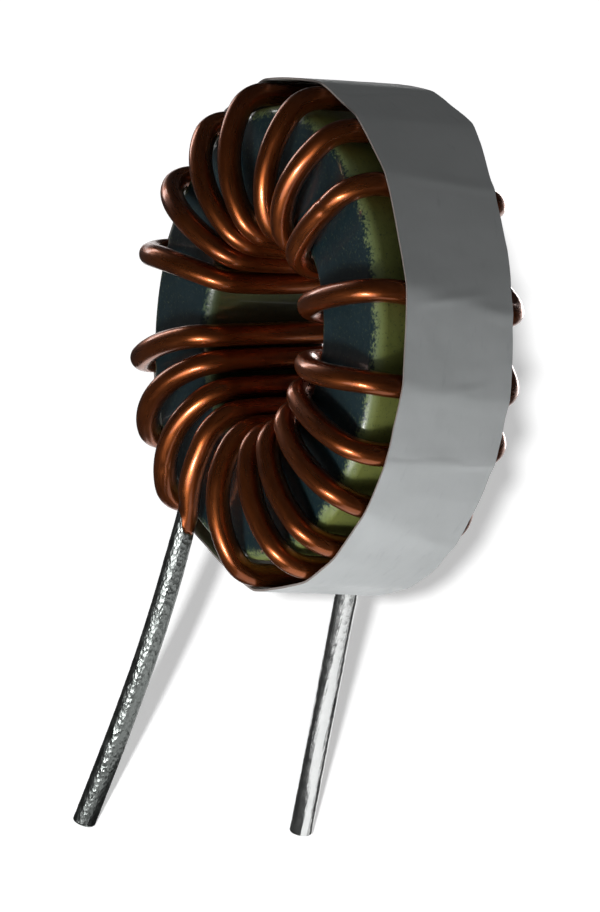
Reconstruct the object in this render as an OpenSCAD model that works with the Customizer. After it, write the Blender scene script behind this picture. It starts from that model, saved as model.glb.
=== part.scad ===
// Toroidal inductor for upright through-hole mounting.
// A coated powdered-iron ring carries one length of enamelled copper wire. The wire passes
// through the bore once a turn and both its ends run down as solder-dipped leads. A strip of
// film is wrapped round the outside of the turns.
//
// Axes: the ring's own axis lies along Y with its front face towards -Y, the leads point down
// along -Z, and the origin is on the board's face, midway between the two leads.

/* [Core] */
// Outer diameter of the coated ring
core_od = 33; // [26:0.5:44]
// Bore diameter of the coated ring
core_id = 16.6; // [13.6:0.1:21]
// Height of the ring along its axis
core_h = 10.4; // [7:0.1:16]
// Radius of the ring's rounded edges
core_edge_r = 0.9; // [0.4:0.1:1.6]

/* [Winding] */
// Number of turns
turns = 18; // [8:1:22]
// Diameter of the wire over its enamel
wire_d = 1.74; // [1.2:0.02:2.1]
// Thickness of the enamel
enamel_t = 0.07; // [0.05:0.01:0.1]
// Gap left between the wire and the ring
wire_gap = 0.1; // [0.08:0.01:0.3]
// Smallest gap left between neighbouring turns in the bore
turn_gap = 0.1; // [0.1:0.01:0.3]
// Radius of the wire's bends over the ring's edges
wire_bend = 2.6; // [1.9:0.1:3.4]
// Angle at which the loosest turn rises off the ring's front face
face_bow = 42; // [10:1:44]
// Angle at which the same turn rises off the rear face, where the wire is pulled tighter
rear_bow = 16; // [5:1:44]
// Angle at which the turns rise off the wall of the bore
bore_bow = 6; // [1:1:20]
// Angle at which the turns rise off the outside of the ring
side_bow = 2; // [1:1:20]
// Angle of the ring that the winding leaves bare between its two ends in the bore
open_angle = 21; // [18:1:40]
// How far a turn leads on round the ring as it passes through the bore, in degrees
bore_lead = 6; // [0:1:8]
// How far a turn falls back round the ring as it passes along the outside, in degrees
side_lead = 2; // [0:1:4]

/* [Leads] */
// Length of the front lead below the board's face
front_lead_len = 22.8; // [8:0.1:40]
// Length of the rear lead below the board's face
rear_lead_len = 21.7; // [8:0.1:40]
// Height over the board's face at which the front lead's solder ends
front_solder_top = 1.5; // [0:0.1:1.6]
// Height over the board's face at which the rear lead's solder ends
rear_solder_top = 0; // [0:0.1:0.8]
// Distance of each lead to its own side of the middle plane
lead_offset = 1.6; // [1.2:0.1:3]
// Angle by which each lead leans away from the other
lead_splay = 4.5; // [0:0.5:10]
// Thickness of the solder on the leads
solder_t = 0.06; // [0.04:0.01:0.15]

/* [Band] */
// Width of the film strip
band_w = 9; // [4:0.1:9.4]
// Distance of the strip's middle behind the ring's middle
band_shift = 0.4; // [0:0.1:0.4]
// Thickness of the film
band_t = 0.15; // [0.1:0.01:0.4]
// Gap left between the film and the turns
band_gap = 0.12; // [0.1:0.01:0.4]

/* [Hidden] */
// The turns are laid by hand, so they bunch up and spread. spare holds the spare room ahead of
// each turn, as shares of all the room to spare in the bore. The others hold, for each turn after
// the first, how much further round the ring its outer end lies than its bore end and how much
// further than side_lead it falls back on the outside, both in degrees, and how loosely it lies
// on the faces, in tenths of the loosest.
spare = [3, 3, 0, 18, 2, 0, 0, 9, 0, 4, 14, 14, 1, 2, 4, 2, 4];
lean = [9, 9, 5, 11, 8, 3, -1, -3, -6, -5, -3, 4, 3, 7, 10, 14, 10];
slip = [0, 0, 0, 0, 0, 0, 0, 0, 0, 1, 3, 0, -3, 8, 3, 0, 0];
loose = [7, 9, 4, 10, 9, 8, 7, 6, 6, 2, 4, 7, 3, 3, 3, 4, 7];

STEP = 21;           // most degrees that one straight piece of the swept wire stands for
EASE = 0.4;          // how much a turn eases into and out of its slant, from 0 to 1
WIRE_SIDES = 10;     // sides of the swept wire
FINE = 96;           // facets shown on full circles
elbow_r = 8;         // radius at which a lead leaves the ring's face

wire_r = wire_d / 2;
bare_r = wire_r - enamel_t;
tight_bend = core_edge_r + wire_r + wire_gap;   // a bend that follows the ring's rounded edge
bend_r = max(wire_bend, tight_bend);
// A wider bend still touches the rounded edge, so its centre lies deeper in the ring
sunk = core_edge_r + (bend_r - tight_bend) / sqrt(2);
outer_x = core_od / 2 - sunk;                // centres of the bends, from the ring's axis
inner_x = core_id / 2 + sunk;
bend_y = core_h / 2 - sunk;                  // and from its middle plane
apex_r = inner_x - bend_r * cos(45);         // middle of a bend at the bore's edge
in_r = inner_x - bend_r - bend_y * tan(bore_bow / 2);    // innermost centre line of a turn
out_r = outer_x + bend_r + bend_y * tan(side_bow / 2);   // outermost centre line of a turn
face_y = bend_y + bend_r;                    // centre line of a lead across a face
elbow_z = core_edge_r - core_od / 2;         // level of the elbows under the ring's axis

// Angles round the ring are measured from +X towards +Z, seen from the front.
tight_pitch = 2 * asin((wire_d + turn_gap) / 2 / in_r);
first_bore = 270 - asin(lead_offset / apex_r);
bore_span = 360 - open_angle;
spare_room = bore_span - (turns - 1) * tight_pitch;

function laid(list, i, n) = list[round(i * (len(list) - 1) / max(1, n - 1))];
function total(v, n) = n < 0 ? 0 : v[n] + total(v, n - 1);
shares = [for (i = [0:turns - 2]) laid(spare, i, turns - 1)];
all_shares = total(shares, turns - 2);

// Where turn i enters the bore, leaves it at the rear and lies on the outside, in front and behind
function bore_angle(i) = first_bore - i * tight_pitch
    - (i == 0 ? 0 : spare_room * total(shares, i - 1) / all_shares);
function rear_angle(i) = bore_angle(i) - bore_lead;
function side_angle(i) = bore_angle(i) + laid(lean, i - 1, turns - 1);
function back_angle(i) = side_angle(i) - side_lead - laid(slip, i - 1, turns - 1);
function turn_bow(i, loosest) = loosest * laid(loose, i - 1, turns - 1) / 10;

// The band's lowest stretch, under the lowest turn, rests on the board
lowest = min([for (i = [1:turns - 1], a = [side_angle(i), back_angle(i)]) sin(a)]);
axis_z = wire_r + band_gap + band_t - out_r * lowest;    // height of the ring's axis

function unit(v) = v / norm(v);
function tail(v) = [for (i = [1:len(v) - 1]) v[i]];
function about(r, a, y) = [r * cos(a), y, r * sin(a)];

// side is -1 at the front and 1 at the rear
function elbow(side) = [side * lead_offset, side * face_y, elbow_z];
function lead_dir(side) = [0, side * sin(lead_splay), -cos(lead_splay)];
function lead_at(side, z) =
    elbow(side) + lead_dir(side) * (elbow_z + axis_z - z) / cos(lead_splay);
function lead_len(side) = side < 0 ? front_lead_len : rear_lead_len;
function lead_top(side) = lead_at(side, side < 0 ? front_solder_top : rear_solder_top);
function lead_end(side) = lead_at(side, solder_t * 2 - lead_len(side));
function lead_tip(side) = lead_at(side, -lead_len(side));

// Points of an arc about c, where angle 0 points along out and 90 degrees along on
function arc(c, r, out, on, from, to) = let (steps = ceil(abs(to - from) / STEP))
    [for (j = [0:steps]) let (a = from + (to - from) * j / steps)
        c + r * (cos(a) * out + sin(a) * on)];

// Part of a turn's section, from the middle of the bend about c0 to the middle of the next one
// about c1; in between it bows outwards, rising from both bends at the angle bow. A point is
// [distance from the ring's axis, distance behind its middle plane].
function stretch(c0, c1, bow) =
    let (half = norm(c1 - c0) / 2, on = unit(c1 - c0), out = [-on[1], on[0]],
         centre = (c0 + c1) / 2 - out * half / tan(bow))
    concat(arc(c0, bend_r, out, on, -45, -bow),
        tail(arc(centre, bend_r + half / sin(bow), out, on, -bow, bow)),
        tail(arc(c1, bend_r, out, on, bow, 45)));
function face_section(x0, x1, side, bow) = stretch([x0, side * bend_y], [x1, side * bend_y], bow);
bore_section = stretch([inner_x, -bend_y], [inner_x, bend_y], bore_bow);
side_section = stretch([outer_x, bend_y], [outer_x, -bend_y], side_bow);

// Lays a section round the ring from one angle to another, without its first point
function travel(v, i) = i == 0 ? 0 : norm(v[i] - v[i - 1]) + travel(v, i - 1);
function lay(section, from, to) = let (last = len(section) - 1, all = travel(section, last))
    [for (i = [1:last]) let (t = travel(section, i) / all,
         eased = t + EASE * t * (1 - t) * (2 * t - 1))
        about(section[i][0], from + (to - from) * eased, section[i][1])];

// The wire through the bore, and from there round the rear, the outside and the front face to
// the bore again
function pass(i) = lay(bore_section, bore_angle(i), rear_angle(i));
function loop(i) = let (next = i + 1, rear_rise = turn_bow(next, rear_bow),
    front_rise = turn_bow(next, face_bow))
    concat(lay(face_section(inner_x, outer_x, 1, rear_rise), rear_angle(i), back_angle(next)),
        lay(side_section, back_angle(next), side_angle(next)),
        lay(face_section(outer_x, inner_x, -1, front_rise), side_angle(next), bore_angle(next)));

// A lead's way from its top to the middle of the bend at the bore's edge, at an angle
function lead_way(side, angle) =
    let (e = elbow(side), apex = about(apex_r, angle, 0),
         edge = [for (p = arc([inner_x, side * bend_y], bend_r, [0, side], [-1, 0], 0, 45))
             let (t = (-elbow_z - p[0]) / (-elbow_z - apex_r))
             [e[0] + t * (apex[0] - e[0]), p[1], e[2] + t * (apex[2] - e[2])]])
    concat([lead_top(side)], bend(lead_top(side), e, edge[0], elbow_r), edge);

// Points of the slight bend of radius r at p, between the points before and after it
function bend(before, p, after, r) =
    let (u1 = unit(before - p), u2 = unit(after - p), m = unit(u1 + u2), w = unit(u1 - u2),
         half = 90 - acos(u1 * m), middle = p + m * r / cos(half))
    [for (a = [half, 0, -half]) middle - m * r * cos(a) + w * r * sin(a)];

rear_way = lead_way(1, rear_angle(turns - 1));
path = concat(lead_way(-1, first_bore),
    [for (i = [0:turns - 2]) each concat(pass(i), loop(i))],
    pass(turns - 1), [for (i = [len(rear_way) - 2:-1:0]) rear_way[i]]);

// A tube swept along points, with its rings kept from twisting
module swept_wire(points, r, sides) {
    n = len(points);
    ahead = [for (i = [0:n - 2]) unit(points[i + 1] - points[i])];
    along = [for (i = [0:n - 1]) i == 0 ? ahead[0] : i == n - 1 ? ahead[n - 2]
        : unit(ahead[i - 1] + ahead[i])];
    across = [for (i = 0, v = [1, 0, 0] - along[0] * along[0][0]; i < n;
        i = i + 1, v = i < n ? v - along[i] * (v * along[i]) : v) v];
    rings = [for (i = [0:n - 1]) let (u = unit(across[i]), v = cross(along[i], u))
        for (k = [0:sides - 1]) points[i]
            + r * (cos(360 * k / sides) * u + sin(360 * k / sides) * v)];
    skin = [for (i = [0:n - 2]) for (k = [0:sides - 1])
        let (a = i * sides + k, b = i * sides + (k + 1) % sides)
        each [[a, b + sides, b], [a, a + sides, b + sides]]];
    polyhedron(rings, concat([[for (k = [0:sides - 1]) k]], skin,
        [[for (k = [sides - 1:-1:0]) (n - 1) * sides + k]]));
}

// A round bar from a to b
module bar(a, b, r) {
    d = b - a;
    translate(a) rotate([0, acos(d[2] / norm(d)), atan2(d[1], d[0])])
        cylinder(h = norm(d), r = r, $fn = FINE);
}

module core() {
    color("darkslategray") translate([0, 0, axis_z]) rotate([90, 0, 0])
        rotate_extrude($fn = FINE) translate([core_id / 2, -core_h / 2]) rounded_section();
}

// Section of the ring: a rectangle with round corners
module rounded_section() {
    w = (core_od - core_id) / 2;
    e = core_edge_r;
    translate([e, 0]) square([w - 2 * e, core_h]);
    translate([0, e]) square([w, core_h - 2 * e]);
    for (x = [e, w - e], y = [e, core_h - e]) translate([x, y]) circle(e, $fn = 48);
}

// One wire from end to end; its stripped ends are true round bars
module winding() {
    color("sienna") translate([0, 0, axis_z]) {
        swept_wire(path, wire_r, WIRE_SIDES);
        for (side = [-1, 1])
            bar(lead_top(side) - lead_dir(side) * bare_r / 2, lead_end(side), bare_r);
    }
}

// The solder that coats a stripped lead and closes over its end
module lead_solder(side) {
    color("silver") translate([0, 0, axis_z]) difference() {
        bar(lead_top(side), lead_tip(side), bare_r + solder_t);
        bar(lead_top(side) - lead_dir(side), lead_end(side), bare_r);
    }
}

module front_lead_solder() { lead_solder(-1); }
module rear_lead_solder() { lead_solder(1); }

// Outline round all turns at a distance from their centre lines; a taut strip spans from turn
// to turn, so it is flat between them
module round_turns(distance) {
    hull() for (i = [1:turns - 1], a = [side_angle(i), back_angle(i)])
        translate([out_r * cos(a), out_r * sin(a)]) circle(distance, $fn = 32);
}

module band() {
    color("gainsboro") translate([0, band_shift + band_w / 2, axis_z]) rotate([90, 0, 0])
        linear_extrude(band_w) difference() {
            round_turns(wire_r + band_gap + band_t);
            round_turns(wire_r + band_gap);
        }
}

core();
winding();
front_lead_solder();
rear_lead_solder();
band();
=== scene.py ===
"""Looks of an upright toroidal inductor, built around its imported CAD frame.

The ring keeps its CAD shape and gets its two-tone coat. The wire is swept again along the same
path with a finer mesh, but for a slight bow of the front lead. The leads get lumpy dipped solder,
and the film band gets its lap and creases. Lengths are in millimetres until a mesh is made.
"""

import math

import bpy
import numpy as np
from mathutils import Matrix, Vector, noise


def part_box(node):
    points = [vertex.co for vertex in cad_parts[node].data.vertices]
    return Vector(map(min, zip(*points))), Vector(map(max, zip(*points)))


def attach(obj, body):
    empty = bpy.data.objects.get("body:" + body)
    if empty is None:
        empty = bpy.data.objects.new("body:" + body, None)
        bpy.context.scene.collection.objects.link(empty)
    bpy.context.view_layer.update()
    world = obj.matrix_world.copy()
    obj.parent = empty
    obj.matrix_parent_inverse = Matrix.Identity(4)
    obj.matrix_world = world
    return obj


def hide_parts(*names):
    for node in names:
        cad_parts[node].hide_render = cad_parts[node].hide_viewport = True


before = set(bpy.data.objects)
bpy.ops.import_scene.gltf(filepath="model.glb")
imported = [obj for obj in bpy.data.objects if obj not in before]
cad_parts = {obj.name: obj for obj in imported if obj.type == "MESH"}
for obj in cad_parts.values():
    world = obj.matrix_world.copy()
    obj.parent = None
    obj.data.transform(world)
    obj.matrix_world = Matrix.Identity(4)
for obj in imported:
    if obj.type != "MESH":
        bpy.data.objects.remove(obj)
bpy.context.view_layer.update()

MM = 0.001
PER_MM = 1 / MM

# ---------------------------------------------------------------- sizes, as in the CAD model
EDGE_R = 0.9                       # rounded edges of the ring
TURNS = 18
WIRE_D = 1.74                      # over the enamel
ENAMEL_T = 0.07
WIRE_GAP = 0.1                     # between the wire and the ring
TURN_GAP = 0.1                     # smallest between neighbouring turns in the bore
WIRE_BEND = 2.6                    # radius of the wire's bends over the ring's edges
FACE_BOW = 42                      # rise of the loosest turn off the front face, in degrees
REAR_BOW = 16                      # and off the rear face
BORE_BOW = 6                       # rise of the turns off the bore's wall
SIDE_BOW = 2                       # and off the ring's outside
OPEN_ANGLE = 21                    # of the ring, bare between the winding's two ends
BORE_LEAD = 6                      # how far a turn leads on as it passes through the bore
SIDE_LEAD = 2                      # and falls back as it passes along the outside, in degrees
LEAD_OFFSET = 1.6                  # of each lead from the middle plane
LEAD_SPLAY = 4.5                   # lean of each lead away from the other
SOLDER_T = 0.06
FRONT_SOLDER_TOP = 1.5             # height over the board's face
REAR_SOLDER_TOP = 0.0
ELBOW_R = 8                        # radius at which a lead leaves the ring's face
BAND_T = 0.15
BAND_GAP = 0.12                    # between the film and the turns
# How unevenly the turns lie. SPARE holds the spare room ahead of each turn in the bore, as
# shares of all that there is. The others hold, for each turn after the first, how much further
# round its outer end lies than its bore end, how much further than SIDE_LEAD it falls back, and
# how loosely it lies on the faces, in tenths of the loosest. SLIP was set by eye; the other three
# are a scratch fit's results, rounded.
SPARE = (3, 3, 0, 18, 2, 0, 0, 9, 0, 4, 14, 14, 1, 2, 4, 2, 4)
LEAN = (9, 9, 5, 11, 8, 3, -1, -3, -6, -5, -3, 4, 3, 7, 10, 14, 10)
SLIP = (0, 0, 0, 0, 0, 0, 0, 0, 0, 1, 3, 0, -3, 8, 3, 0, 0)
LOOSE = (7, 9, 4, 10, 9, 8, 7, 6, 6, 2, 4, 7, 3, 3, 3, 4, 7)
EASE = 0.4                         # how much a turn eases into and out of its slant

# ---------------------------------------------------------------- left out of the CAD model
# In what follows, side -1 is the front one and side 1 the rear one. A lead bows off the ring's
# face on its way to the bore by LEAD_BOW, and its soldered end bows from straight by END_BOW.
LEAD_BOW = {-1: 0.45, 1: 0.0}
END_BOW = {-1: 0.45, 1: 0.0}
END_BOW_WAY = (0.45, 0.89, 0.0)    # towards the photo's right
END_BOW_SKEW = 0.8                 # under 1, its deepest point lies above the middle

# ---------------------------------------------------------------- measured on the frame
core_low, core_high = (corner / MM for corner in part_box("core"))
band_low, band_high = (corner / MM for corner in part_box("band"))
AXIS = np.array([0, 0, (core_low.z + core_high.z) / 2])
CORE_R = (core_high.x - core_low.x) / 2
HALF_H = (core_high.y - core_low.y) / 2
BORE_R = min(math.hypot(v.co.x / MM, v.co.z / MM - AXIS[2])
             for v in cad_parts["core"].data.vertices)
WIRE_R = WIRE_D / 2
BARE_R = WIRE_R - ENAMEL_T
SOLDER_R = BARE_R + SOLDER_T
# A lead's end is square to the leaning lead, so its middle lies above its lowest corner
TIP_RISE = SOLDER_R * math.sin(math.radians(LEAD_SPLAY))
FLOOR_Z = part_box("front_lead_solder")[0].z / MM
FRONT_TIP = FLOOR_Z + TIP_RISE
REAR_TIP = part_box("rear_lead_solder")[0].z / MM + TIP_RISE
SOLDERED = {-1: (FRONT_SOLDER_TOP, FRONT_TIP), 1: (REAR_SOLDER_TOP, REAR_TIP)}
# A wider bend still touches the ring's rounded edge, so its centre lies deeper in the ring
SUNK = EDGE_R + (WIRE_BEND - EDGE_R - WIRE_R - WIRE_GAP) / math.sqrt(2)
OUTER_X = CORE_R - SUNK
INNER_X = BORE_R + SUNK
BEND_Y = HALF_H - SUNK
APEX_R = INNER_X - WIRE_BEND * math.cos(math.radians(45))
IN_R = INNER_X - WIRE_BEND - BEND_Y * math.tan(math.radians(BORE_BOW / 2))
OUT_R = OUTER_X + WIRE_BEND + BEND_Y * math.tan(math.radians(SIDE_BOW / 2))
ELBOW = np.array([LEAD_OFFSET, BEND_Y + WIRE_BEND, CORE_R - EDGE_R])

# ---------------------------------------------------------------- where the turns lie
# Angles round the ring are in degrees from +X towards +Z, seen from the front
PITCH = 2 * math.degrees(math.asin((WIRE_D + TURN_GAP) / 2 / IN_R))
ROOM = 360 - OPEN_ANGLE - (TURNS - 1) * PITCH
FIRST = 270 - math.degrees(math.asin(LEAD_OFFSET / APEX_R))


def bore_angle(i):
    """Where turn i enters the bore, at the front."""
    return FIRST - i * PITCH - ROOM * sum(SPARE[:i]) / sum(SPARE)


def side_angle(i):
    """Where turn i passes over the front edge of the ring's outside."""
    return bore_angle(i) + LEAN[i - 1]


def back_angle(i):
    """Where it passes over the rear edge."""
    return side_angle(i) - SIDE_LEAD - SLIP[i - 1]


def unit(v):
    v = np.asarray(v, float)
    return v / np.linalg.norm(v)


def lengths_along(points):
    """How far along a line each of its points lies."""
    steps = np.linalg.norm(np.diff(points, axis=0), axis=1)
    return np.concatenate([[0], np.cumsum(steps)])


def arc(centre, radius, out, on, start, end, step=3.0):
    """Points about centre, where angle 0 points along out and 90 degrees along on."""
    a = np.radians(np.linspace(start, end, max(2, math.ceil(abs(end - start) / step) + 1)))
    return np.asarray(centre) + radius * (np.outer(np.cos(a), out) + np.outer(np.sin(a), on))


def stretch(c0, c1, bow):
    """Half a bend, a bowed side and half a bend of a turn's section, as in the CAD model."""
    c0, c1 = np.asarray(c0, float), np.asarray(c1, float)
    half, on = np.linalg.norm(c1 - c0) / 2, unit(c1 - c0)
    out = np.array([-on[1], on[0]])
    centre = (c0 + c1) / 2 - out * half / math.tan(math.radians(bow))
    reach = WIRE_BEND + half / math.sin(math.radians(bow))
    return np.vstack([
        arc(c0, WIRE_BEND, out, on, -45, -bow),
        arc(centre, reach, out, on, -bow, bow, 1.5)[1:],
        arc(c1, WIRE_BEND, out, on, bow, 45)[1:]])


def lay(section, start, end):
    """Turns a section round the ring; rows of distance from the axis, y and angle."""
    run = lengths_along(section)
    t = run / run[-1]
    t = t + EASE * t * (1 - t) * (2 * t - 1)
    return np.column_stack([section, start + (end - start) * t])[1:]


def face_section(x0, x1, side, bow):
    """The section of a turn's run across one face, between the bends' centres."""
    return stretch([x0, side * BEND_Y], [x1, side * BEND_Y], bow)


def lead_dir(side):
    """The direction down a lead."""
    return np.array([0, side * math.sin(math.radians(LEAD_SPLAY)),
                     -math.cos(math.radians(LEAD_SPLAY))])


def lead_at(side, z):
    """Point on a lead's centre line at height z over the board, from the ring's axis."""
    elbow = ELBOW * [side, side, -1]
    return elbow + lead_dir(side) * (elbow[2] + AXIS[2] - z) / -lead_dir(side)[2]


def bowed_end(side, z):
    """The same point, where the soldered end bows a little."""
    top, tip = SOLDERED[side]
    share = min(1.0, max(0.0, (top - z) / (top - tip)))
    bow = END_BOW[side] * math.sin(math.pi * share ** END_BOW_SKEW)
    return lead_at(side, z) + bow * np.array(END_BOW_WAY)


LEAD_WAY_POINTS = 60


def lead_way(side, angle, top):
    """From the top of a lead's solder to the middle of the bend at the bore's edge."""
    elbow = ELBOW * [side, side, -1]
    apex = np.array([APEX_R * math.cos(math.radians(angle)), 0,
                     APEX_R * math.sin(math.radians(angle))])
    edge = arc([INNER_X, side * BEND_Y], WIRE_BEND, [0, side], [-1, 0], 0, 45)
    t = ((ELBOW[2] - edge[:, 0]) / (ELBOW[2] - APEX_R))[:, None]
    depth = edge[:, 1]
    edge = elbow * (1 - t) + apex * t
    edge[:, 1] = depth
    start = lead_at(side, top)
    u1, u2 = unit(start - elbow), unit(edge[0] - elbow)
    middle, across = unit(u1 + u2), unit(u1 - u2)
    half = math.pi / 2 - math.acos(u1 @ middle)
    centre = elbow + middle * ELBOW_R / math.cos(half)
    bend = arc(centre, ELBOW_R, -middle, across, math.degrees(half), -math.degrees(half), 1.0)
    way = np.vstack([start[None], bend, edge])
    run = lengths_along(way)
    at = np.linspace(0, run[-1], LEAD_WAY_POINTS)
    way = np.column_stack([np.interp(at, run, way[:, k]) for k in range(3)])
    way[:, 1] += side * LEAD_BOW[side] * np.sin(np.pi * at / run[-1]) ** 2
    return way


def cylindrical(points):
    """Rows of distance from the ring's axis, y and angle, for points near the lead's side."""
    angle = np.degrees(np.arctan2(points[:, 2], points[:, 0]))
    return np.column_stack([np.hypot(points[:, 0], points[:, 2]), points[:, 1], angle])


def wire_path():
    """Centre line of the whole wire, from the ring's axis, one solder top to the other."""
    front = cylindrical(lead_way(-1, FIRST, FRONT_SOLDER_TOP))
    front[:, 2] += 360
    rows = [front]
    for i in range(TURNS):
        bore, rear = bore_angle(i), bore_angle(i) - BORE_LEAD
        rows.append(lay(stretch([INNER_X, -BEND_Y], [INNER_X, BEND_Y], BORE_BOW), bore, rear))
        if i == TURNS - 1:
            break
        side, back, loose = side_angle(i + 1), back_angle(i + 1), LOOSE[i] / 10
        rows.append(lay(face_section(INNER_X, OUTER_X, 1, REAR_BOW * loose), rear, back))
        rows.append(lay(stretch([OUTER_X, BEND_Y], [OUTER_X, -BEND_Y], SIDE_BOW), back, side))
        rows.append(lay(face_section(OUTER_X, INNER_X, -1, FACE_BOW * loose), side,
                        bore_angle(i + 1)))
    last = cylindrical(lead_way(1, bore_angle(TURNS - 1) - BORE_LEAD, REAR_SOLDER_TOP))[::-1][1:]
    rows.append(last)
    return np.vstack(rows)


SLANT_REACH = 1.2                  # length to each side over which the wire's slant is averaged


def resample(rows, spacing):
    """Points in even steps along the line; a running mean takes the corners out of its slant."""
    def xyz(r):
        a = np.radians(r[:, 2])
        return np.column_stack([r[:, 0] * np.cos(a), r[:, 1], r[:, 0] * np.sin(a)])
    run = lengths_along(xyz(rows))
    at = np.linspace(0, run[-1], round(run[-1] / spacing) + 1)
    even = np.column_stack([np.interp(at, run, rows[:, k]) for k in range(3)])
    reach = round(SLANT_REACH / spacing)
    padded = np.pad(even[:, 2], reach, mode="edge")
    even[:, 2] = np.convolve(padded, np.ones(2 * reach + 1) / (2 * reach + 1), mode="valid")
    return xyz(even)


# ---------------------------------------------------------------- meshes
def make_mesh(name, points, faces, replaced, attributes=None):
    """A smooth-shaded piece that stands for CAD nodes; points are in mm in the row frame."""
    mesh = bpy.data.meshes.new(name)
    mesh.from_pydata((np.asarray(points) * MM).tolist(), [], faces)
    mesh.validate()
    for key, values in (attributes or {}).items():
        kind = "FLOAT_VECTOR" if np.ndim(values) == 2 else "FLOAT"
        field = "vector" if kind == "FLOAT_VECTOR" else "value"
        mesh.attributes.new(key, kind, "POINT").data.foreach_set(
            field, np.asarray(values, np.float32).ravel())
    mesh.shade_smooth()
    piece = bpy.data.objects.new(name, mesh)
    bpy.context.scene.collection.objects.link(piece)
    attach(piece, "root")
    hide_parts(*replaced)
    return piece


def tube_faces(rows, sides, closed=False):
    """Quads of a tube whose rings have so many sides, with its two ends capped."""
    k = np.arange(sides)
    n = (k + 1) % sides
    faces = []
    for i in range(rows if closed else rows - 1):
        a, b = i * sides, (i + 1) % rows * sides
        faces += np.column_stack([a + k, b + k, b + n, a + n]).tolist()
    if not closed:
        faces.append(k.tolist())
        faces.append(((rows - 1) * sides + k[::-1]).tolist())
    return faces


def carried_axes(centres):
    """Two axes across a line at each of its points, carried along it without twist."""
    ahead = np.gradient(centres, axis=0)
    ahead /= np.linalg.norm(ahead, axis=1)[:, None]
    u = np.zeros_like(ahead)
    u[0] = unit(np.array([1.0, 0, 0]) - ahead[0] * ahead[0][0])
    for i in range(1, len(ahead)):
        u[i] = unit(u[i - 1] - ahead[i] * (u[i - 1] @ ahead[i]))
    return ahead, u, np.cross(ahead, u)


def bumps(points, size, seed):
    """Smooth noise from -1 to 1 at each point, with features of that size in mm."""
    shift = Vector((seed * 17.3, seed * -9.1, seed * 5.7))
    return np.array([noise.noise(Vector(p) / size + shift) for p in points])


# ---------------------------------------------------------------- the wire
WIRE_SIDES = 28
WIRE_STEP = 0.3
BARE_STEP = 1.0                    # along the stripped ends
SHOULDER = 0.04                    # length in which the wire drops to its bare size
# Where the enamel ends, front and rear: how far the edge slants from side to side, and how far
# its middle lies above the solder's mean top. It is lowest in the direction LOW_SIDE.
SLANT = {-1: 1.3, 1: 0.3}
RAISED = {-1: 0.85, 1: 0.0}
LOW_SIDE = (0.75, -0.4)
EDGE_STEP = (0.25, 0.25, 6)        # a step in the slant: its size, place and sharpness
EDGE_ROUGH = (0.175, 0.55)         # depth and size of its roughness
EDGE_FADE = 3.0                    # length over which its shape dies out
# Nicks in the wire: distance from the ring's axis, angle, depth, and the side that they are on
NICKS = ((14.2, 63.0, 0.2, (0.45, -0.75, 0.5)), (14.3, -113.4, 0.12, (0.79, -0.5, 0.36)))
NICK_W = 0.3


def ragged_edge(side, directions):
    """How far the enamel's stripped edge lies below its mean, by direction across the lead."""
    lean = directions @ unit([LOW_SIDE[0], side * LOW_SIDE[1], 0.0])
    size, place, sharpness = EDGE_STEP
    slant = lean / 2 + size * np.tanh(sharpness * (lean - place))
    rough = EDGE_ROUGH[0] * bumps(directions, EDGE_ROUGH[1], 3 + side)
    return SLANT[side] * slant + rough - RAISED[side]


def bare_end(side):
    """The stripped end: points from the solder's top to short of the lead's tip."""
    top, tip = SOLDERED[side]
    zs = np.linspace(top, tip + 2 * SOLDER_T, round((top - tip) / BARE_STEP))
    return np.array([bowed_end(side, z) for z in zs])


def build_wire():
    """The whole wire: its bare front end, the enamelled winding and its bare rear end."""
    path = resample(wire_path(), WIRE_STEP)
    front, rear = bare_end(-1), bare_end(1)
    centres = np.vstack([front[::-1][:-1], path[0] + SHOULDER * lead_dir(-1), path,
                         path[-1] + SHOULDER * lead_dir(1), rear[1:]])
    radius = np.full(len(centres), WIRE_R)
    radius[:len(front)] = BARE_R
    radius[-len(rear):] = BARE_R
    ahead, u, v = carried_axes(centres)
    angle = 2 * np.pi * np.arange(WIRE_SIDES) / WIRE_SIDES
    out = u[:, None] * np.cos(angle)[None, :, None] + v[:, None] * np.sin(angle)[None, :, None]
    away = lengths_along(centres)
    points = centres[:, None] + out * radius[:, None, None]
    for side, at in ((-1, away[len(front) - 1]), (1, away[-len(rear)])):
        fade = np.clip(1 - np.abs(away - at) / EDGE_FADE, 0, 1)
        for i in np.nonzero(fade)[0]:
            points[i] += lead_dir(side) * (ragged_edge(side, out[i]) * fade[i])[:, None]
    for distance, at, deep, facing in NICKS:
        spot = np.array([distance * math.cos(math.radians(at)), -BEND_Y - WIRE_BEND,
                         distance * math.sin(math.radians(at))])
        middle = away[np.argmin(np.linalg.norm(centres - spot, axis=1))]
        share = np.exp(-((away - middle) / NICK_W) ** 2)[:, None]
        points -= out * (deep * share * np.clip(out @ unit(facing), 0, 1) ** 2)[..., None]
    flat = points.reshape(-1, 3)
    along = np.repeat(away, WIRE_SIDES)
    around = np.tile(angle, len(centres))
    grain = np.column_stack([along, np.cos(around) * WIRE_R, np.sin(around) * WIRE_R])
    return make_mesh("enamelled_winding", flat + AXIS, tube_faces(len(centres), WIRE_SIDES),
                     ["winding"], {"wire_grain": grain})


# ---------------------------------------------------------------- the solder on the leads
SOLDER_SIDES = 64
SOLDER_STEP = 0.1
SOLDER_RIM = 0.05                  # length in which the solder rises to its thickness
TIP_ROUNDING = 0.18
TIP_RINGS = (0.4, 0.1)             # radii of the rings across the tip, as shares of the solder's
INSIDE_RINGS = 20
LUMPS = {-1: (0.024, 0.4), 1: (0.014, 0.9)}     # depth and size of the lumps, front and rear
FINE_LUMPS = 0.4                   # size and weight of the finer ones, as shares
CALM_TIP = 0.3                     # share of the lumps that is left at the end of the last mm


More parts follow.
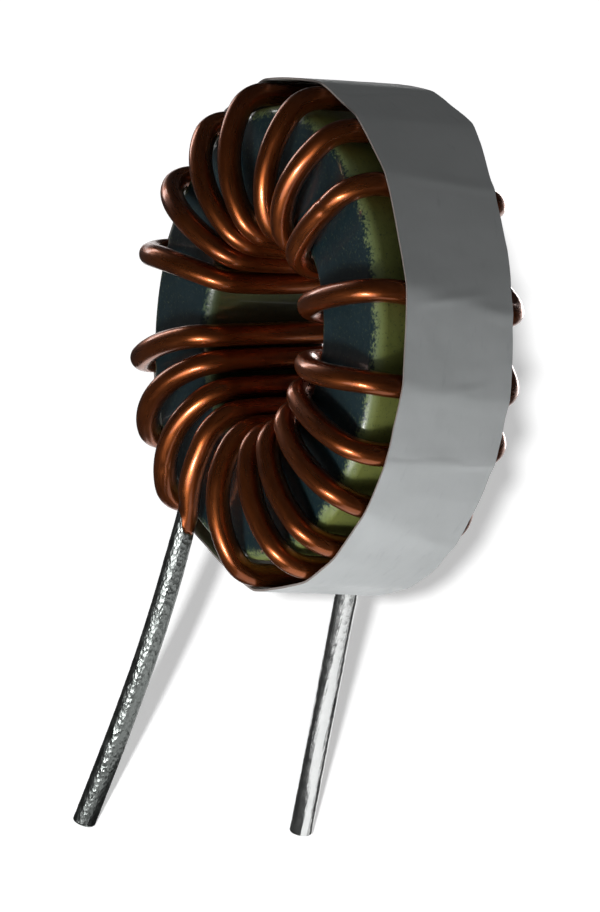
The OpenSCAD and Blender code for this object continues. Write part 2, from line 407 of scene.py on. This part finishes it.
def build_solder(side, name, node):
    """A sleeve closed over the lead's end: its outside down, its end, and its inside up."""
    top, tip = SOLDERED[side]
    down = lead_dir(side)
    start = lead_at(side, top)
    end = lead_at(side, tip)
    length = np.linalg.norm(end - start)
    u = unit(np.cross(down, [0, 1, 0]))
    v = np.cross(down, u)
    angle = 2 * np.pi * np.arange(SOLDER_SIDES) / SOLDER_SIDES
    out = np.outer(np.cos(angle), u) + np.outer(np.sin(angle), v)
    edge = ragged_edge(side, out)
    depth, size = LUMPS[side]

    def ring(s, r):
        """One ring, a distance s down the lead; the top ones follow the enamel's ragged edge."""
        fade = max(0, 1 - s / EDGE_FADE)
        return bowed_end(side, top + s * down[2]) + out * r + np.outer(edge * fade, down)

    def lumpiness(s, r):
        """How far it lies off its full size: inwards by half the solder's thickness at most."""
        at = start + out * r + down * s
        lumps = (1 - FINE_LUMPS) * bumps(at, size, 11 + side)
        lumps = lumps + FINE_LUMPS * bumps(at, size * FINE_LUMPS, 23 + side)
        calm = CALM_TIP + (1 - CALM_TIP) * min(1, max(0, length - s))
        return np.maximum(depth * (lumps - 0.5) * calm, -SOLDER_T / 2)
    outer = [(0.0, BARE_R + 0.01), (SOLDER_RIM / 2, WIRE_R - 0.02), (SOLDER_RIM, SOLDER_R)]
    outer += [(s, SOLDER_R)
              for s in np.arange(SOLDER_RIM + SOLDER_STEP, length - TIP_ROUNDING, SOLDER_STEP)]
    outer += [(length - TIP_ROUNDING * (1 - math.sin(a)),
               SOLDER_R - TIP_ROUNDING * (1 - math.cos(a)))
              for a in np.radians(np.arange(0, 91, 15))]
    outer += [(length, SOLDER_R * share) for share in TIP_RINGS]
    rows = []
    for s, r in outer:
        lumpy = s > 0 and r > BARE_R
        rows.append(ring(s, r) + (out * lumpiness(s, r)[:, None] if lumpy else 0))
    floor = length - 2 * SOLDER_T
    inner = [(floor, BARE_R * TIP_RINGS[-1]), (floor, BARE_R)]
    inner += [(s, BARE_R) for s in np.linspace(floor, EDGE_FADE, INSIDE_RINGS)[1:]]
    inner += [(EDGE_FADE / 2, BARE_R)]
    rows += [ring(s, r) for s, r in inner]
    points = np.array(rows)
    faces = tube_faces(len(rows), SOLDER_SIDES, closed=True)
    # the outside's end and the inside's end are closed by their own discs, not by each other
    last_outer = len(outer) - 1
    bridge = set(range(last_outer * SOLDER_SIDES, (last_outer + 1) * SOLDER_SIDES))
    faces = [f for n, f in enumerate(faces) if n not in bridge]
    k = np.arange(SOLDER_SIDES)
    faces.append((last_outer * SOLDER_SIDES + k[::-1]).tolist())
    faces.append(((last_outer + 1) * SOLDER_SIDES + k).tolist())
    return make_mesh(name, points.reshape(-1, 3) + AXIS, faces, [node])


# ---------------------------------------------------------------- the film band
BAND_COLUMNS = 720
BAND_ROWS = 22
TAUT_STEP = 4.0                    # degrees between the points taken round each turn


def taut_outline(y, distance, count):
    """Outline pulled tight round the turns at depth y: radius at even angles round the axis."""
    share = min(1, max(0, (BEND_Y + y) / (2 * BEND_Y)))
    turns = np.radians([side_angle(i) * (1 - share) + back_angle(i) * share
                        for i in range(1, TURNS)])
    ring = np.radians(np.arange(0, 360, TAUT_STEP))
    cloud = np.vstack([np.column_stack([OUT_R * math.cos(a) + distance * np.cos(ring),
                                        OUT_R * math.sin(a) + distance * np.sin(ring)])
                       for a in turns])
    order = np.lexsort((cloud[:, 1], cloud[:, 0]))
    hull = convex(cloud[order])
    even = 2 * np.pi * np.arange(count) / count
    angles = np.arctan2(hull[:, 1], hull[:, 0])
    start = np.argmin(angles)
    hull = np.roll(hull, -start, axis=0)
    angles = np.unwrap(np.roll(angles, -start))
    hull = np.vstack([hull, hull[:1]])
    angles = np.append(angles, angles[0] + 2 * np.pi)
    result = np.empty(count)
    for j, a in enumerate(even):
        b = (a - angles[0]) % (2 * np.pi) + angles[0]
        m = min(max(np.searchsorted(angles, b, side="right") - 1, 0), len(hull) - 2)
        p, q = hull[m], hull[m + 1]
        d = np.array([math.cos(b), math.sin(b)])
        n = np.array([q[1] - p[1], p[0] - q[0]])
        result[j] = (p @ n) / (d @ n)
    return result


def convex(points):
    """Convex hull, anticlockwise, of points sorted by x and then y."""
    def chain(seq):
        kept = []
        for p in seq:
            while len(kept) > 1:
                a, b = kept[-1] - kept[-2], p - kept[-2]
                if a[0] * b[1] - a[1] * b[0] > 1e-9:
                    break
                kept.pop()
            kept.append(p)
        return kept[:-1]
    return np.array(chain(points) + chain(points[::-1]))


CORNER_REACH = 7                   # columns to each side over which its corners are rounded
SPRING = (0.32, 0.42)              # how far the film springs out of its taut line, front and rear
SLACK_AT = 0.12                    # it dents where its taut line runs this far in, or more
BROAD_DENTS = (0.10, 4.5)          # depth and size
FINE_DENTS = (0.025, 1.6)
DENT_CALM = 0.02                   # depth that is taken off both together
# Where its rear edge bulges: angle, half width in degrees and rise
BULGES = ((76, 8, 0.32), (-66, 10, 0.18), (-92, 9, 0.25))
STRIP_END = -3.5                   # angle at which the strip's outer end lies
STRIP_LAP = 36                     # how far its end reaches over its start, in degrees
LAP_T = 0.05
LAP_RISE = 0.6                     # degrees in which the lap rises to that
LAP_WANDER = (1.2, 1.8)            # how far its end wanders, in degrees, and in what length
# Folds across it: angle, half width, height, and the depths y that they reach from and to
FOLDS = ((93.5, 1.6, -0.16, -4.1, 3.5), (32.5, 1.2, 0.07, -3.0, 3.2), (12.4, 1.0, 0.05, -0.5, 3.4))
FOLD_SLANT = 0.5                   # degrees a millimetre
FOLD_ENDS = (1.2, 1.5)             # lengths in which a fold rises and dies out
# How far back its edges creep: angle, half width in degrees and distance
FRONT_CREEP = ((178, 55, 0.55),)
REAR_CREEP = ((84, 12, 0.4), (56, 9, -0.25), (30, 12, -0.25))
CUT_WAVES = (0.06, 0.12)           # how far its cut edges wave inwards, front and rear
CUT_WAVE_SIZE = 2.2
CUT_WAVE_R = 17                    # distance from the axis at which their noise is read
SHARP_EDGE = math.radians(50)      # least angle between faces that shades as an edge


def build_band():
    """The film: its outside and inside, closed at both cut edges, with its lap and creases."""
    even = 2 * np.pi * np.arange(BAND_COLUMNS) / BAND_COLUMNS
    ys = np.linspace(band_low.y, band_high.y, BAND_ROWS)
    off_wire = WIRE_R + BAND_GAP + BAND_T
    farthest = OUT_R + off_wire
    kernel = np.hanning(2 * CORNER_REACH + 3)[1:-1]
    outer, slack = [], []
    for k, y in enumerate(ys):
        taut = taut_outline(y, off_wire, BAND_COLUMNS)
        spring = SPRING[0] + (SPRING[1] - SPRING[0]) * k / (BAND_ROWS - 1)
        r = taut + spring * (farthest - taut)
        wide = np.concatenate([r[-CORNER_REACH:], r, r[:CORNER_REACH]])
        outer.append(np.convolve(wide, kernel / kernel.sum(), mode="valid"))
        slack.append(np.clip((farthest - taut) / SLACK_AT, 0, 1))
    outer, slack = np.array(outer), np.array(slack)
    x = np.cos(even)[None] * outer
    z = np.sin(even)[None] * outer
    grid = np.stack([x, np.repeat(ys[:, None], BAND_COLUMNS, 1), z], -1)
    flat = grid.reshape(-1, 3)
    broad = bumps(flat * [1, 0.6, 1], BROAD_DENTS[1], 5).reshape(outer.shape)
    fine = bumps(flat, FINE_DENTS[1], 6).reshape(outer.shape)
    dents = np.minimum(0, broad * BROAD_DENTS[0] + fine * FINE_DENTS[0] - DENT_CALM) * slack
    degrees = np.degrees(even)[None]
    wander = bumps(np.column_stack([ys * 0, ys, ys * 0]), LAP_WANDER[1], 9)[:, None]
    past = (STRIP_END + LAP_WANDER[0] * wander - degrees) % 360
    lap = LAP_T * np.clip(past / LAP_RISE, 0, 1) * np.clip(1 - past / STRIP_LAP, 0, 1)
    share = np.linspace(0, 1, BAND_ROWS)[:, None]

    def swell(at, half, high):
        """A smooth rise about an angle, which may differ from row to row."""
        return high * np.exp(-(((degrees - at + 180) % 360 - 180) / half) ** 2)

    def fold(at, half, high, start, end):
        """A slanting swell that reaches over only some of the film's width."""
        depth = ys[:, None]
        within = np.clip((depth - start) / FOLD_ENDS[0], 0, 1)
        within = within * np.clip((end - depth) / FOLD_ENDS[1], 0, 1)
        return swell(at + FOLD_SLANT * depth, half, high) * within
    rise = share * sum(swell(*bulge) for bulge in BULGES) + sum(fold(*each) for each in FOLDS)
    out = np.stack([np.cos(even), even * 0, np.sin(even)], -1)[None]
    skin = grid + out * (dents + lap + rise)[..., None]
    wave = bumps(out[0] * CUT_WAVE_R, CUT_WAVE_SIZE, 8)
    skin[..., 1] += (1 - share) * sum(swell(*creep) for creep in FRONT_CREEP)
    skin[..., 1] += share * sum(swell(*creep) for creep in REAR_CREEP)
    skin[0, :, 1] += np.maximum(wave, 0) * CUT_WAVES[0]
    skin[-1, :, 1] -= np.maximum(-wave, 0) * CUT_WAVES[1]
    skin[..., 0] = np.clip(skin[..., 0], band_low.x, band_high.x)
    skin[..., 2] = np.minimum(skin[..., 2], band_high.z - AXIS[2])
    lining = skin - out * BAND_T
    rows = np.concatenate([skin, lining[::-1]])
    # The cut edges, which the film's material paints darker and browner as shade
    edge = np.zeros(rows.shape[:2])
    edge[[0, BAND_ROWS - 1, BAND_ROWS, -1]] = 1
    # The lining, which the film's material paints darker as shade
    inside = np.zeros(rows.shape[:2])
    inside[BAND_ROWS + 1:-1] = 1
    faces = tube_faces(len(rows), BAND_COLUMNS, closed=True)
    piece = make_mesh("film_band", rows.reshape(-1, 3) + AXIS, faces, ["band"],
                      {"cut_edge": edge.ravel(), "inside": inside.ravel()})
    piece.data.set_sharp_from_angle(angle=SHARP_EDGE)
    return piece


# ---------------------------------------------------------------- materials
def new_material(name):
    """A material, its node tree and its shader."""
    material = bpy.data.materials.new(name)
    material.use_nodes = True
    return material, material.node_tree, material.node_tree.nodes["Principled BSDF"]


def add(tree, kind, inputs=None, **settings):
    """A new node; an input takes a value or another node's output."""
    node = tree.nodes.new(kind)
    for key, value in settings.items():
        setattr(node, key, value)
    for key, value in (inputs or {}).items():
        if isinstance(value, bpy.types.NodeSocket):
            tree.links.new(value, node.inputs[key])
        else:
            node.inputs[key].default_value = value
    return node


def srgb(r, g, b):
    """A linear colour from 8-bit sRGB values."""
    def line(c):
        c = c / 255
        return c / 12.92 if c <= 0.04045 else ((c + 0.055) / 1.055) ** 2.4
    return (line(r), line(g), line(b), 1.0)


def ramp(tree, factor, stops):
    """A colour ramp with stops of (position, colour)."""
    node = add(tree, "ShaderNodeValToRGB", {0: factor})
    elements = node.color_ramp.elements
    while len(elements) < len(stops):
        elements.new(1.0)
    for element, (position, colour) in zip(elements, stops):
        element.position = position
        element.color = colour
    return node.outputs["Color"]


def spots(tree, vector, size, detail=2.0, rough=0.5):
    """Noise from 0 to 1, with features of that size in the vector's units."""
    node = add(tree, "ShaderNodeTexNoise", {"Vector": vector, "Scale": 1 / size,
                                            "Detail": detail, "Roughness": rough})
    return node.outputs["Fac"]


def scaled(tree, vector, scale):
    """The vector with each of its parts scaled."""
    node = add(tree, "ShaderNodeVectorMath", {0: vector, 1: scale}, operation="MULTIPLY")
    return node.outputs["Vector"]


def maths(tree, operation, a, b=0.0, clamp=False):
    """The result of one operation on one or two values."""
    return add(tree, "ShaderNodeMath", {0: a, 1: b}, operation=operation,
               use_clamp=clamp).outputs[0]


def span(tree, value, low, high, to_low=0.0, to_high=1.0, smooth=False):
    """The value, taken from one range to another and kept within it."""
    node = add(tree, "ShaderNodeMapRange", {"Value": value, "From Min": low, "From Max": high,
                                            "To Min": to_low, "To Max": to_high})
    if smooth:
        node.interpolation_type = "SMOOTHSTEP"
    return node.outputs["Result"]


def blend(tree, factor, a, b):
    """Colour a where the factor is 0 and b where it is 1."""
    node = add(tree, "ShaderNodeMix", data_type="RGBA")
    for socket, value in ((node.inputs[0], factor), (node.inputs[6], a), (node.inputs[7], b)):
        if isinstance(value, bpy.types.NodeSocket):
            tree.links.new(value, socket)
        else:
            socket.default_value = value
    return node.outputs[2]


def bump(tree, height, depth, normal=None):
    """A bump whose height of 0 to 1 stands for depth mm."""
    inputs = {"Height": height, "Distance": depth * MM, "Strength": 1.0}
    if normal is not None:
        inputs["Normal"] = normal
    return add(tree, "ShaderNodeBump", inputs).outputs["Normal"]


def place_mm(tree):
    """Position on the object in millimetres."""
    where = add(tree, "ShaderNodeTexCoord").outputs["Object"]
    return scaled(tree, where, (PER_MM,) * 3)


# How far the face coat reaches round the ring's edges, on the bore side and outside
COAT_EDGE = (0.46, 0.36)


def core_coat():
    """Glossy coat: blue-green on the front face, olive behind it, with a sprayed border.
    The olive has painted shade in the bore, painted light outside and a painted sheen by the
    border.
    """
    material, tree, shader = new_material("core_coat")
    at = place_mm(tree)
    parts = add(tree, "ShaderNodeSeparateXYZ", {0: at}).outputs
    level = maths(tree, "SUBTRACT", parts["Z"], float(AXIS[2]))
    radius = maths(tree, "SQRT", maths(tree, "ADD", maths(tree, "POWER", parts["X"], 2.0),
                                       maths(tree, "POWER", level, 2.0)))
    outside = maths(tree, "SUBTRACT", radius, CORE_R - EDGE_R)
    inside = maths(tree, "SUBTRACT", BORE_R + EDGE_R, radius)
    behind = maths(tree, "ADD", parts["Y"], HALF_H)
    reach = maths(tree, "ADD", maths(tree, "MAXIMUM", outside, inside), behind)
    edge = span(tree, radius, BORE_R + EDGE_R, CORE_R - EDGE_R, COAT_EDGE[0], COAT_EDGE[1])
    depth = maths(tree, "SUBTRACT", reach, edge)
    broad = spots(tree, at, size=1.6)
    grit = spots(tree, at, size=0.2, rough=0.55)
    shifted = maths(tree, "ADD", depth, span(tree, broad, 0.2, 0.8, -0.32, 0.32))
    cover = span(tree, shifted, -0.45, 0.75, 1.0, 0.0)
    sprayed = maths(tree, "SUBTRACT", cover, span(tree, grit, 0.28, 0.72))
    face = span(tree, sprayed, -0.4, 0.4, smooth=True)
    teal = blend(tree, spots(tree, at, size=3.0), srgb(16, 33, 38), srgb(26, 46, 53))
    # Painted shade and light: the olive is painted darker in the bore and lighter outside
    bore = blend(tree, spots(tree, at, size=2.4), srgb(50, 54, 29), srgb(68, 72, 40))
    outer = blend(tree, spots(tree, at, size=2.4), srgb(108, 117, 57), srgb(134, 141, 77))
    olive = blend(tree, span(tree, radius, BORE_R + EDGE_R, CORE_R - EDGE_R), bore, outer)
    # Painted sheen: a pale green highlight painted onto the olive near the coat's border
    painted_sheen = span(tree, depth, 0.2, 1.6, 0.55, 0.0, smooth=True)
    olive = blend(tree, painted_sheen, olive, srgb(96, 116, 88))
    tree.links.new(blend(tree, face, olive, teal), shader.inputs["Base Color"])
    tree.links.new(span(tree, grit, 0.3, 0.7, 0.30, 0.42), shader.inputs["Roughness"])
    shader.inputs["Coat Weight"].default_value = 0.5
    shader.inputs["Coat Roughness"].default_value = 0.06
    peel = bump(tree, spots(tree, at, size=0.9, detail=1.0), depth=0.03)
    tree.links.new(bump(tree, face, depth=0.012, normal=peel), shader.inputs["Normal"])
    return material


def enamelled_copper():
    """Clear brown enamel over copper, with drawn grain along the wire and small scuffs."""
    material, tree, shader = new_material("enamelled_wire")
    grain = add(tree, "ShaderNodeAttribute", attribute_name="wire_grain").outputs["Vector"]
    at = place_mm(tree)
    streaks = spots(tree, scaled(tree, grain, (0.12, 1, 1)), size=0.22)
    patches = spots(tree, scaled(tree, grain, (0.5, 1, 1)), size=1.4, detail=3.0)
    specks = spots(tree, at, size=0.13, rough=0.6)
    brown = ramp(tree, patches, [(0.25, srgb(118, 60, 27)), (0.5, srgb(143, 74, 33)),
                                 (0.75, srgb(163, 88, 42))])
    pitted = span(tree, specks, 0.66, 0.74)
    brown = blend(tree, maths(tree, "MULTIPLY", pitted, 0.6), brown, srgb(52, 26, 16))
    tree.links.new(brown, shader.inputs["Base Color"])
    tree.links.new(span(tree, streaks, 0.3, 0.7, 0.24, 0.38), shader.inputs["Roughness"])
    shader.inputs["Metallic"].default_value = 0.92
    shader.inputs["Coat Weight"].default_value = 0.45
    shader.inputs["Coat Roughness"].default_value = 0.1
    shader.inputs["Coat IOR"].default_value = 1.5
    waves = bump(tree, spots(tree, scaled(tree, grain, (0.5, 1, 1)), size=0.9), depth=0.010)
    lines = bump(tree, streaks, depth=0.0014, normal=waves)
    tree.links.new(bump(tree, pitted, depth=0.004, normal=lines), shader.inputs["Normal"])
    return material


# The solder on each lead: its darker and brighter colour, its roughness from and to, the size of
# its crystals, and the depths of its soft bumps, its drawn streaks and its crystals
GRITTY_SOLDER = ((106, 111, 108), (156, 160, 158), (0.26, 0.42), 0.2, (0.03, 0.01, 0.04))
BRIGHT_SOLDER = ((210, 212, 211), (247, 248, 247), (0.16, 0.26), 0.3, (0.014, 0.03, 0.012))


def solder_metal(name, finish):
    """Dipped solder, cloudy and crystalline, with streaks where it ran down the lead."""
    dull, bright, roughness, crystal, depths = finish
    material, tree, shader = new_material(name)
    at = place_mm(tree)
    stretched = scaled(tree, at, (1, 1, 0.55))
    cloudy = spots(tree, at, size=0.8, detail=3.0)
    tree.links.new(blend(tree, cloudy, srgb(*dull), srgb(*bright)), shader.inputs["Base Color"])
    tree.links.new(span(tree, cloudy, 0.3, 0.7, *roughness), shader.inputs["Roughness"])
    shader.inputs["Metallic"].default_value = 1.0
    drawn = spots(tree, scaled(tree, at, (1, 1, 0.06)), size=0.22)
    crystals = add(tree, "ShaderNodeTexVoronoi", {"Vector": stretched, "Scale": 1 / crystal},
                   feature="F1").outputs["Distance"]
    normal = None
    for height, depth in zip((spots(tree, stretched, size=0.3), drawn, crystals), depths):
        normal = bump(tree, height, depth, normal)
    tree.links.new(normal, shader.inputs["Normal"])
    return material


def satin_film():
    """Grey-white plastic film, faint rubbed marks, and painted shade on its inside and browner cut
    edge.
    """
    material, tree, shader = new_material("band_film")
    at = place_mm(tree)
    cloudy = spots(tree, at, size=5.0, detail=3.0)
    rubbed = spots(tree, scaled(tree, at, (0.6, 2.2, 0.6)), size=1.1, detail=4.0)
    grey = blend(tree, cloudy, srgb(174, 178, 178), srgb(186, 189, 190))
    grey = blend(tree, span(tree, rubbed, 0.62, 0.75, 0, 0.35), grey, srgb(160, 163, 165))
    # Painted shade: the film's inside is painted a darker, duller grey
    inside = add(tree, "ShaderNodeAttribute", attribute_name="inside").outputs["Fac"]
    grey = blend(tree, inside, grey, srgb(104, 101, 95))
    # Painted shade: the cut edge is painted darker and browner, against the lamps' light on it
    edge = add(tree, "ShaderNodeAttribute", attribute_name="cut_edge").outputs["Fac"]
    grey = blend(tree, span(tree, edge, 0.96, 1.0), grey, srgb(128, 120, 116))
    tree.links.new(grey, shader.inputs["Base Color"])
    tree.links.new(span(tree, rubbed, 0.3, 0.7, 0.36, 0.5), shader.inputs["Roughness"])
    shader.inputs["Specular IOR Level"].default_value = 0.35
    soft = bump(tree, spots(tree, at, size=2.6), depth=0.05)
    tree.links.new(bump(tree, rubbed, depth=0.006, normal=soft), shader.inputs["Normal"])
    return material


# ---------------------------------------------------------------- the stage
# The camera, as a scratch fit to the photo gave it; its angles are in degrees, the azimuth from
# -Y towards +X
CAMERA_AZIMUTH = 57.67
CAMERA_ELEVATION = 20.79
CAMERA_ROLL = 14.88
CAMERA_DISTANCE = 600
CAMERA_SENSOR = 36
CAMERA_LENS = 326.8
CAMERA_CLIP = 10000
CAMERA_SHIFT = (2.795, -8.947)     # along the picture's right and up, from the ring's face


def camera_axes():
    """Right, up and back of the camera, in the row frame."""
    az, el, roll = (math.radians(a) for a in (CAMERA_AZIMUTH, CAMERA_ELEVATION, CAMERA_ROLL))
    back = np.array([math.cos(el) * math.sin(az), -math.cos(el) * math.cos(az), math.sin(el)])
    level = np.array([math.cos(az), math.sin(az), 0])
    upright = np.cross(back, level)
    right = math.cos(roll) * level + math.sin(roll) * upright
    return right, np.cross(back, right), back


def build_camera():
    """The camera that took the photo, as fitted to it."""
    right, up, back = camera_axes()
    data = bpy.data.cameras.new("photo_view")
    data.sensor_width = CAMERA_SENSOR
    data.sensor_fit = "AUTO"
    data.lens = CAMERA_LENS
    data.clip_end = CAMERA_CLIP * MM
    face = AXIS + [0, -HALF_H, 0]
    place = face + back * CAMERA_DISTANCE + right * CAMERA_SHIFT[0] + up * CAMERA_SHIFT[1]
    camera = bpy.data.objects.new("photo_view", data)
    camera.matrix_world = Matrix((
        (right[0], up[0], back[0], place[0] * MM),
        (right[1], up[1], back[1], place[1] * MM),
        (right[2], up[2], back[2], place[2] * MM),
        (0, 0, 0, 1)))
    bpy.context.scene.collection.objects.link(camera)
    bpy.context.scene.camera = camera


def add_lamp(name, place, size, watts, target=(0, 0, 0)):
    """A soft box whose width lies level, placed in mm from the ring's centre."""
    data = bpy.data.lights.new(name, "AREA")
    data.shape = "RECTANGLE"
    data.size, data.size_y = size[0] * MM, size[1] * MM
    data.energy = watts
    lamp = bpy.data.objects.new(name, data)
    away = unit(np.asarray(place, float) - target)
    level = unit(np.cross([0, 0, 1], place))
    upright = np.cross(away, level)
    spot = (AXIS + place) * MM
    lamp.matrix_world = Matrix([(level[k], upright[k], away[k], spot[k]) for k in range(3)]
                               + [(0, 0, 0, 1)])
    lamp.visible_camera = False
    bpy.context.scene.collection.objects.link(lamp)
    return lamp


def light_only(lamp, name, receivers):
    """Keeps a lamp's light to the objects given."""
    group = bpy.data.collections.new(name)
    for receiver in receivers:
        group.objects.link(receiver)
    lamp.light_linking.receiver_collection = group


SCREEN_R = 330
SCREEN_TOP = 300
SCREEN_SIDES = (-160, 100)         # directions in which its wall stands on the table
BACK_SIDES = (100, 200)            # and those in which it only reaches down to BACK_LOW
BACK_LOW = 25
CEILING_HOLE = 0.5                 # radius left open in its ceiling, where the fan starts
TABLE_LIFT = 0.2                   # how far over the floor the cloths and the wall's foot lie
FAN_STEPS = 30                     # points along each wall and cloth
BLACK_CLOTH = 0.05                 # greys of the wall and ceiling, and of the table's cloths
GREY_CLOTH = 0.14
FOOT_R = 0.9                       # how near to a lead's middle the cloths begin
# Cloths on the table, each a fan about a lead's foot: lead, directions, start and reach
CLOTHS = ((-1, (-200, -15), FOOT_R, SCREEN_R), (-1, (-15, 42), 60, 300),
          (1, (42, 50), FOOT_R, SCREEN_R), (1, (58, 100), FOOT_R, SCREEN_R),
          (1, (195, 262), FOOT_R, 20), (1, (262, 310), FOOT_R, 17), (1, (310, 335), FOOT_R, 10))


def build_surround():
    """A dark studio screen round the object and over it, and cloths, so that metal has contrast.

    Only mirror-like reflections see it: it casts no shadow and takes no light off anything.
    """
    points, faces = [], []
    low = FLOOR_Z + TABLE_LIFT

    def sweep(sides, profile, foot=(0, 0, 0)):
        """Turns a profile of distances and heights about a foot, over a range of directions."""
        angles = np.radians(np.linspace(*sides, FAN_STEPS))
        n, first = len(angles), len(points)
        points.extend(((foot[0] + r * math.cos(a)) * MM, (foot[1] + r * math.sin(a)) * MM, z * MM)
                      for r, z in profile for a in angles)
        faces.extend((first + k * n + i, first + k * n + i + 1,
                      first + (k + 1) * n + i + 1, first + (k + 1) * n + i)
                     for k in range(len(profile) - 1) for i in range(n - 1))
    for sides, foot_level in ((SCREEN_SIDES, low), (BACK_SIDES, BACK_LOW)):
        sweep(sides, [(SCREEN_R, foot_level), (SCREEN_R, SCREEN_TOP), (CEILING_HOLE, SCREEN_TOP)])
    walls = len(faces)
    for lead, sides, start, reach in CLOTHS:
        sweep(sides, [(start, low), (reach, low)], lead_at(lead, FLOOR_Z))
    mesh = bpy.data.meshes.new("dark_surround")
    mesh.from_pydata(points, [], faces)
    screen = bpy.data.objects.new("dark_surround", mesh)
    screen.visible_camera = False
    screen.visible_diffuse = False
    screen.visible_transmission = False
    screen.visible_shadow = False
    bpy.context.scene.collection.objects.link(screen)
    for name, level in (("black_cloth", BLACK_CLOTH), ("grey_cloth", GREY_CLOTH)):
        material, tree, shader = new_material(name)
        shader.inputs["Base Color"].default_value = (level, level, level, 1)
        shader.inputs["Roughness"].default_value = 1.0
        shader.inputs["Specular IOR Level"].default_value = 0.0
        mesh.materials.append(material)
    for face in mesh.polygons[walls:]:
        face.material_index = 1


FLOOR_REACH = 3000
FLOOR_GLOW = 0.34                  # with the world and the shadow lamp, the floor comes to white
WORLD_LEVEL = 0.16
SHADOW_STRENGTH = 5.2
SHADOW_SOFTNESS = 1.1              # how wide the lamp looks, in degrees
SHADOW_OFFSET = (-0.034, 0.022)    # of the lamp's direction from the camera's, right and up


def build_floor():
    """A pale floor at the longer lead's tip; it shows white, and keeps the shadow."""
    mesh = bpy.data.meshes.new("floor")
    reach, level = FLOOR_REACH * MM, FLOOR_Z * MM
    corners = [(-reach, -reach, level), (reach, -reach, level), (reach, reach, level),
               (-reach, reach, level)]
    mesh.from_pydata(corners, [], [(0, 1, 2, 3)])
    floor = bpy.data.objects.new("floor", mesh)
    bpy.context.scene.collection.objects.link(floor)
    material, tree, shader = new_material("pale_floor")
    paper = spots(tree, place_mm(tree), size=8.0)
    tree.links.new(blend(tree, paper, (0.86, 0.86, 0.86, 1), (0.9, 0.9, 0.9, 1)),
                   shader.inputs["Base Color"])
    shader.inputs["Roughness"].default_value = 0.9
    shader.inputs["Specular IOR Level"].default_value = 0.0
    shader.inputs["Emission Color"].default_value = (1, 1, 1, 1)
    tree.links.new(maths(tree, "MULTIPLY", seen_directly(tree), FLOOR_GLOW),
                   shader.inputs["Emission Strength"])
    mesh.materials.append(material)
    return floor


def add_shadow_lamp(floor):
    """A far lamp just above and left of the camera, for the floor alone, so that it keeps the
    object's shadow beside and beneath the band."""
    right, up, back = camera_axes()
    data = bpy.data.lights.new("shadow_lamp", "SUN")
    data.energy = SHADOW_STRENGTH
    data.angle = math.radians(SHADOW_SOFTNESS)
    lamp = bpy.data.objects.new("shadow_lamp", data)
    toward = Vector(back + np.array(right) * SHADOW_OFFSET[0] + np.array(up) * SHADOW_OFFSET[1])
    lamp.rotation_euler = toward.to_track_quat("Z", "Y").to_euler()
    bpy.context.scene.collection.objects.link(lamp)
    light_only(lamp, "floor_only", [floor])


def seen_directly(tree):
    """1 for rays from the camera, mirrors or glass, and 0 for the light that falls on things."""
    path = add(tree, "ShaderNodeLightPath").outputs
    shown = maths(tree, "ADD", path["Is Camera Ray"], path["Is Glossy Ray"], True)
    return maths(tree, "ADD", shown, path["Is Transmission Ray"], True)


def build_world():
    """White where it is seen, and a dim even light on things."""
    world = bpy.data.worlds.new("studio")
    world.use_nodes = True
    tree = world.node_tree
    background = tree.nodes["Background"]
    background.inputs["Color"].default_value = (1, 1, 1, 1)
    tree.links.new(span(tree, seen_directly(tree), 0, 1, WORLD_LEVEL, 1.0),
                   background.inputs["Strength"])
    bpy.context.scene.world = world


# The soft boxes: place from the ring's centre, width and height, and watts. All face the ring's
# centre but the wide one, which faces a point in front of it.
WIDE_KEY = ((38, -62, -31), (64, 38), 0.02)
WIDE_KEY_TARGET = (26.5, -43.6, 14)
SMALL_KEY = ((50, -80, -34), (26, 12), 0.044)
RIM = ((-240, -55, 10), (40, 120), 0.065)
REAR_KEY = ((-95, 115, -20), (80, 60), 0.1)


def light_object(pieces):
    """Two low soft boxes in front, a strip far to the left, and one behind for the pieces alone."""
    add_lamp("wide_key", *WIDE_KEY, target=WIDE_KEY_TARGET)
    add_lamp("small_key", *SMALL_KEY)
    add_lamp("rim", *RIM)
    light_only(add_lamp("rear_key", *REAR_KEY), "object_only", pieces)


# ---------------------------------------------------------------- all together
winding = build_wire()
winding.data.materials.append(enamelled_copper())
front_solder = build_solder(-1, "front_lead_dip", "front_lead_solder")
front_solder.data.materials.append(solder_metal("solder_front", GRITTY_SOLDER))
rear_solder = build_solder(1, "rear_lead_dip", "rear_lead_solder")
rear_solder.data.materials.append(solder_metal("solder_rear", BRIGHT_SOLDER))
band = build_band()
band.data.materials.append(satin_film())
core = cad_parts["core"]
core.data.materials.clear()
core.data.materials.append(core_coat())

build_camera()
add_shadow_lamp(build_floor())
build_world()
build_surround()
light_object([winding, front_solder, rear_solder, band, core])
bpy.context.scene.view_settings.view_transform = "Standard"
